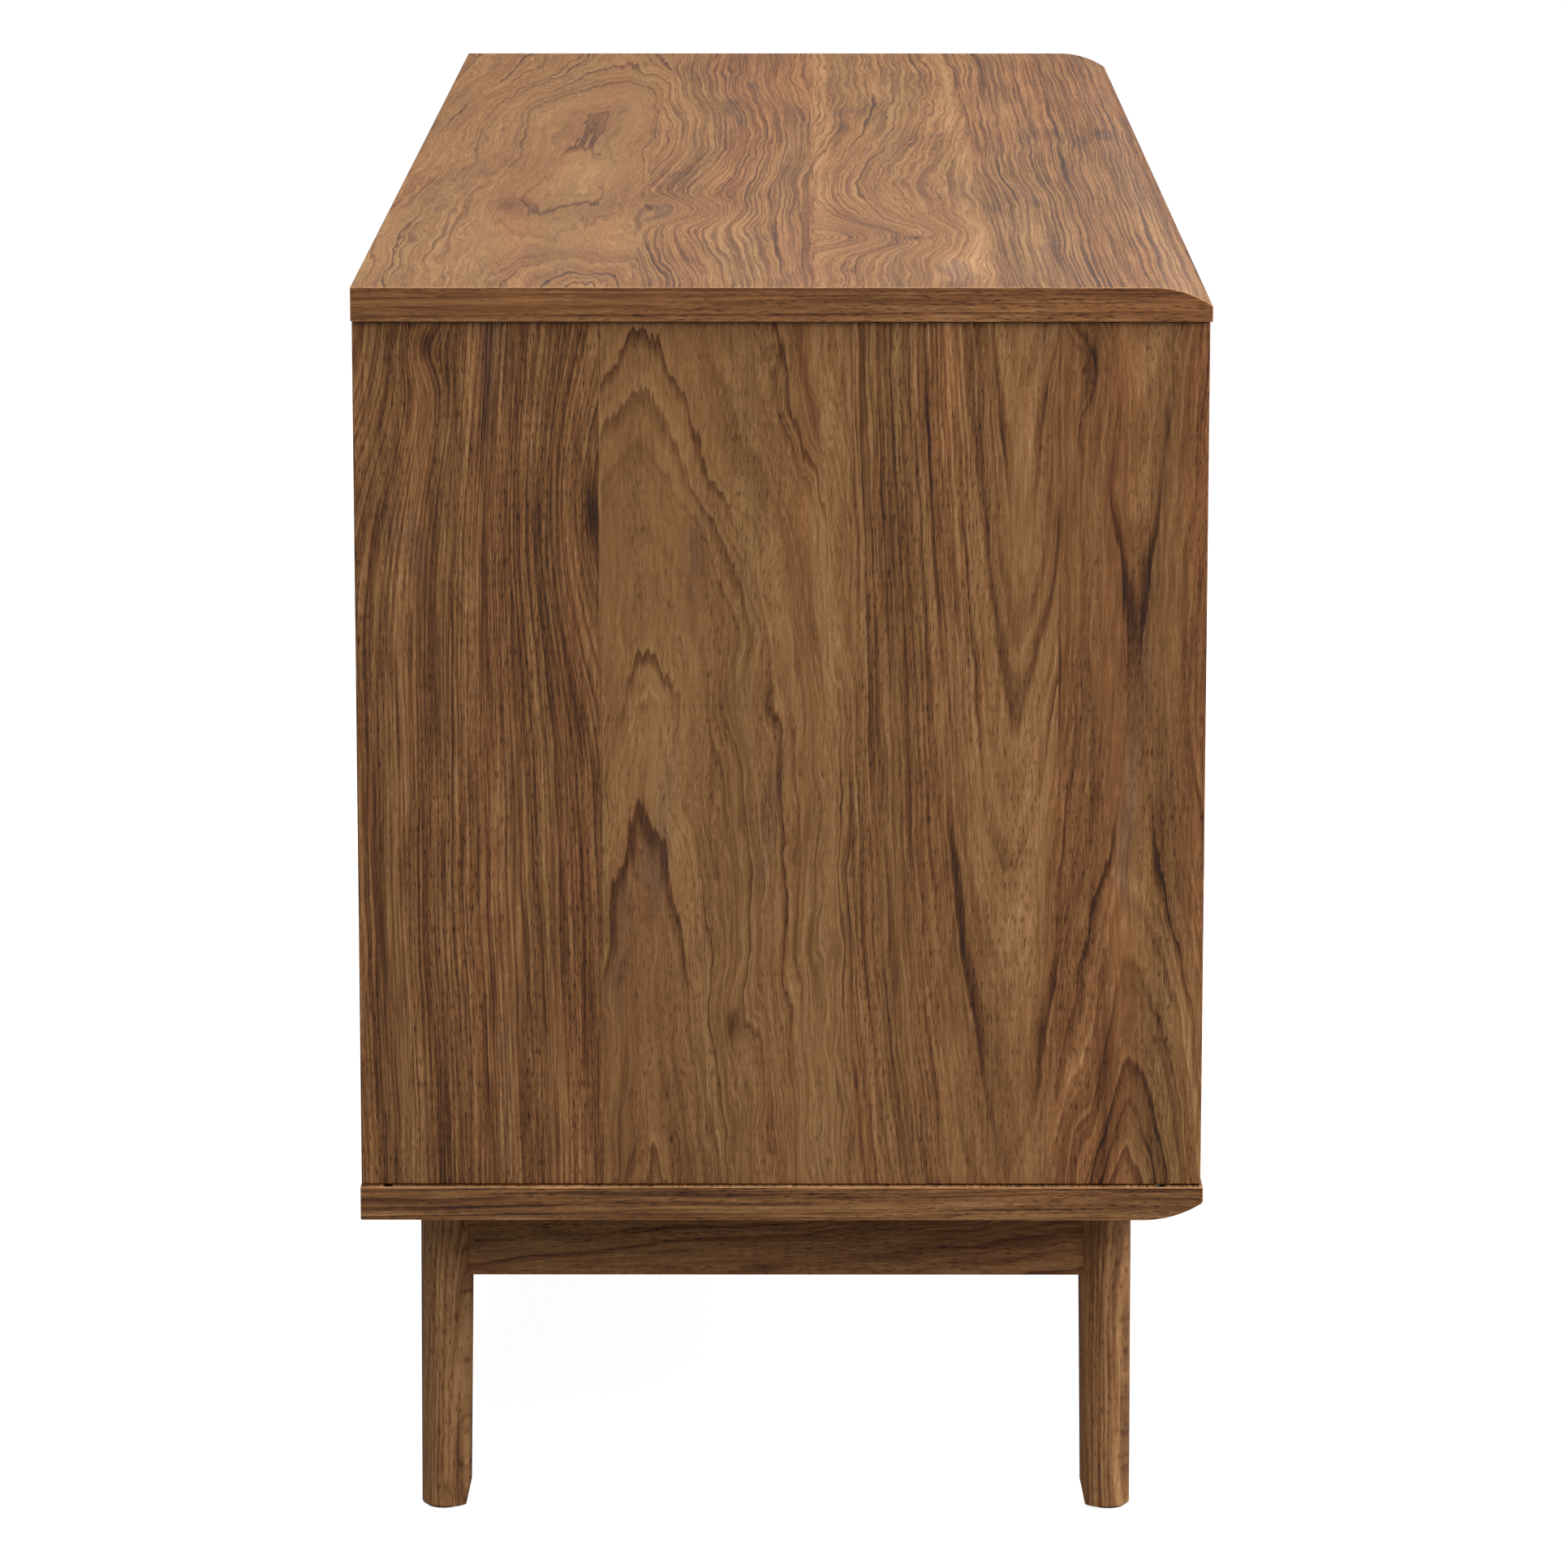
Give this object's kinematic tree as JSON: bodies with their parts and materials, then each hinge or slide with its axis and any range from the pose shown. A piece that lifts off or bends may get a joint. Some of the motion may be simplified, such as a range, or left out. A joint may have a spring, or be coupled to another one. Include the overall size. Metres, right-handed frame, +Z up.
{
  "type": "sideboard",
  "caption": "Low walnut-faced sideboard on splayed round legs, with bypass sliding doors, an adjustable shelf in each bay and rounded front edges on its top and base.",
  "frame": {"origin": "on the floor, under the middle of the cabinet", "axes": "+X runs along the length to the right end as seen from the front, +Y runs to the back, +Z is up; the doors face -Y"},
  "size_m": [1.18, 0.395, 0.587],
  "materials": {
    "walnut": "satin walnut veneer, long grain",
    "hardboard": "matt brown hardboard",
    "nylon": "natural nylon",
    "track_plastic": "dark brown extruded plastic",
    "zinc": "zinc-plated",
    "black_metal": "satin black",
    "glide_plastic": "dark moulded plastic"
  },
  "bodies": {
    "case": {"top_panel": "walnut", "bottom_panel": "walnut", "side_panel_left": "walnut", "side_panel_right": "walnut", "centre_divider": "walnut", "shelf_left": "walnut", "shelf_right": "walnut", "apron_left": "walnut", "apron_right": "walnut", "cleat_left": "walnut", "cleat_right": "walnut", "leg_front_left": "walnut", "leg_front_right": "walnut", "leg_rear_left": "walnut", "leg_rear_right": "walnut", "back_panel_left": "hardboard", "back_panel_right": "hardboard", "shelf_pin_left_outer_front": "zinc", "shelf_pin_left_outer_rear": "zinc", "shelf_pin_left_inner_front": "zinc", "shelf_pin_left_inner_rear": "zinc", "shelf_pin_right_outer_front": "zinc", "shelf_pin_right_outer_rear": "zinc", "shelf_pin_right_inner_front": "zinc", "shelf_pin_right_inner_rear": "zinc", "cam_lock_left_lower_front": "zinc", "cam_lock_left_lower_rear": "zinc", "cam_lock_left_upper_front": "zinc", "cam_lock_left_upper_rear": "zinc", "cam_lock_right_lower_front": "zinc", "cam_lock_right_lower_rear": "zinc", "cam_lock_right_upper_front": "zinc", "cam_lock_right_upper_rear": "zinc", "track_lower_front": "track_plastic", "track_lower_rear": "track_plastic", "track_upper_front": "track_plastic", "track_upper_rear": "track_plastic", "foot_pad_front_left": "glide_plastic", "foot_pad_front_right": "glide_plastic", "foot_pad_rear_left": "glide_plastic", "foot_pad_rear_right": "glide_plastic"},
    "left_door_carriage": {"door_left": "walnut", "finger_pull_left": "black_metal", "roller_housing_left_a": "nylon", "roller_housing_left_b": "nylon", "top_guide_left_a": "nylon", "top_guide_left_b": "nylon"},
    "right_door_carriage": {"door_right": "walnut", "finger_pull_right": "black_metal", "roller_housing_right_a": "nylon", "roller_housing_right_b": "nylon", "top_guide_right_a": "nylon", "top_guide_right_b": "nylon"},
    "wheel_left_a": {"wheel_left_a": "nylon"},
    "wheel_left_b": {"wheel_left_b": "nylon"},
    "wheel_right_a": {"wheel_right_a": "nylon"},
    "wheel_right_b": {"wheel_right_b": "nylon"}
  },
  "joints": [
    {"name": "door_left_slide", "type": "slide", "parent": "case", "child": "left_door_carriage", "axis": [1, 0, 0], "range_m": [0, 0.559]},
    {"name": "door_right_slide", "type": "slide", "parent": "case", "child": "right_door_carriage", "axis": [1, 0, 0], "range_m": [-0.559, 0]},
    {"name": "wheel_left_a_spin", "type": "hinge", "parent": "left_door_carriage", "child": "wheel_left_a", "pos_m": [-0.494, -0.1565, 0.1694], "axis": [0, 1, 0], "continuous": true},
    {"name": "wheel_left_b_spin", "type": "hinge", "parent": "left_door_carriage", "child": "wheel_left_b", "pos_m": [-0.065, -0.1565, 0.1694], "axis": [0, 1, 0], "continuous": true},
    {"name": "wheel_right_a_spin", "type": "hinge", "parent": "right_door_carriage", "child": "wheel_right_a", "pos_m": [0.065, -0.1775, 0.1694], "axis": [0, 1, 0], "continuous": true},
    {"name": "wheel_right_b_spin", "type": "hinge", "parent": "right_door_carriage", "child": "wheel_right_b", "pos_m": [0.494, -0.1775, 0.1694], "axis": [0, 1, 0], "continuous": true}
  ],
  "couplings": [
    {"joint": "wheel_left_a_spin", "follows": "door_left_slide", "rad_per_m": 90.909},
    {"joint": "wheel_left_b_spin", "follows": "door_left_slide", "rad_per_m": 90.909},
    {"joint": "wheel_right_a_spin", "follows": "door_right_slide", "rad_per_m": 90.909},
    {"joint": "wheel_right_b_spin", "follows": "door_right_slide", "rad_per_m": 90.909}
  ]
}
